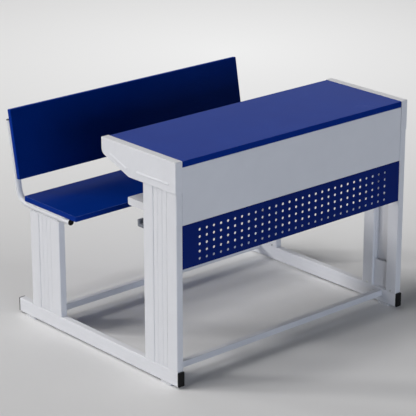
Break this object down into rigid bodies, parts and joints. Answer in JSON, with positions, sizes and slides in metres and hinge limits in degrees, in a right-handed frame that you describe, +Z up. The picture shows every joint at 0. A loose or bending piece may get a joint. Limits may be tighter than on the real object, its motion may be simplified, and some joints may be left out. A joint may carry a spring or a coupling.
{
  "type": "school desk with bench",
  "caption": "School desk and bench on shared steel end frames, with a book tray, a perforated front panel and blue laminated top, seat and backrest.",
  "frame": {"origin": "on the floor, under the middle of the object's length and depth", "axes": "+X along the desk from the left end frame to the right one as seen from the front, +Y from the desk's front panel towards the bench, +Z up"},
  "size_m": [1.039, 0.904, 0.76],
  "materials": {
    "frame_paint": "light grey powder coat, satin",
    "blue_paint": "blue powder coat, satin",
    "arm_plastic": "light grey moulded plastic, fine texture",
    "black_plastic": "black moulded plastic, satin",
    "pad_plastic": "light grey moulded plastic, satin",
    "hook_plastic": "dark grey moulded plastic, satin",
    "blue_laminate": "chipboard faced with blue laminate, satin",
    "blue_edging": "blue edging strip, satin",
    "screw_steel": "zinc plated"
  },
  "bodies": {
    "root": {"backrest": "blue_laminate", "backrest_edging": "blue_edging", "backrest_screws": "screw_steel", "book_tray": "frame_paint", "column_gussets": "frame_paint", "column_screws": "screw_steel", "desktop": "blue_laminate", "desktop_edging": "blue_edging", "desktop_screws": "screw_steel", "front_cross_rail": "frame_paint", "front_panel": "frame_paint", "hook_screws": "screw_steel", "left_back_plate": "frame_paint", "left_bag_hook": "hook_plastic", "left_base_rail": "frame_paint", "left_column_plate": "frame_paint", "left_desk_arm": "arm_plastic", "left_desk_front_post": "frame_paint", "left_desk_rear_post": "frame_paint", "left_desk_web": "frame_paint", "left_desktop_angle": "frame_paint", "left_front_cap": "black_plastic", "left_front_pad": "pad_plastic", "left_rear_cap": "black_plastic", "left_rear_pad": "pad_plastic", "left_seat_front_post": "frame_paint", "left_seat_plate": "frame_paint", "left_seat_rear_post": "frame_paint", "left_seat_tube": "frame_paint", "left_seat_web": "frame_paint", "left_tube_front_plug": "black_plastic", "left_tube_top_plug": "black_plastic", "panel_rail": "frame_paint", "panel_screws": "screw_steel", "perforated_panel": "blue_paint", "post_spigots": "frame_paint", "rear_cross_rail": "frame_paint", "right_back_plate": "frame_paint", "right_bag_hook": "hook_plastic", "right_base_rail": "frame_paint", "right_column_plate": "frame_paint", "right_desk_arm": "arm_plastic", "right_desk_front_post": "frame_paint", "right_desk_rear_post": "frame_paint", "right_desk_web": "frame_paint", "right_desktop_angle": "frame_paint", "right_front_cap": "black_plastic", "right_front_pad": "pad_plastic", "right_rear_cap": "black_plastic", "right_rear_pad": "pad_plastic", "right_seat_front_post": "frame_paint", "right_seat_plate": "frame_paint", "right_seat_rear_post": "frame_paint", "right_seat_tube": "frame_paint", "right_seat_web": "frame_paint", "right_tube_front_plug": "black_plastic", "right_tube_top_plug": "black_plastic", "seat": "blue_laminate", "seat_edging": "blue_edging", "seat_screws": "screw_steel"}
  },
  "joints": []
}
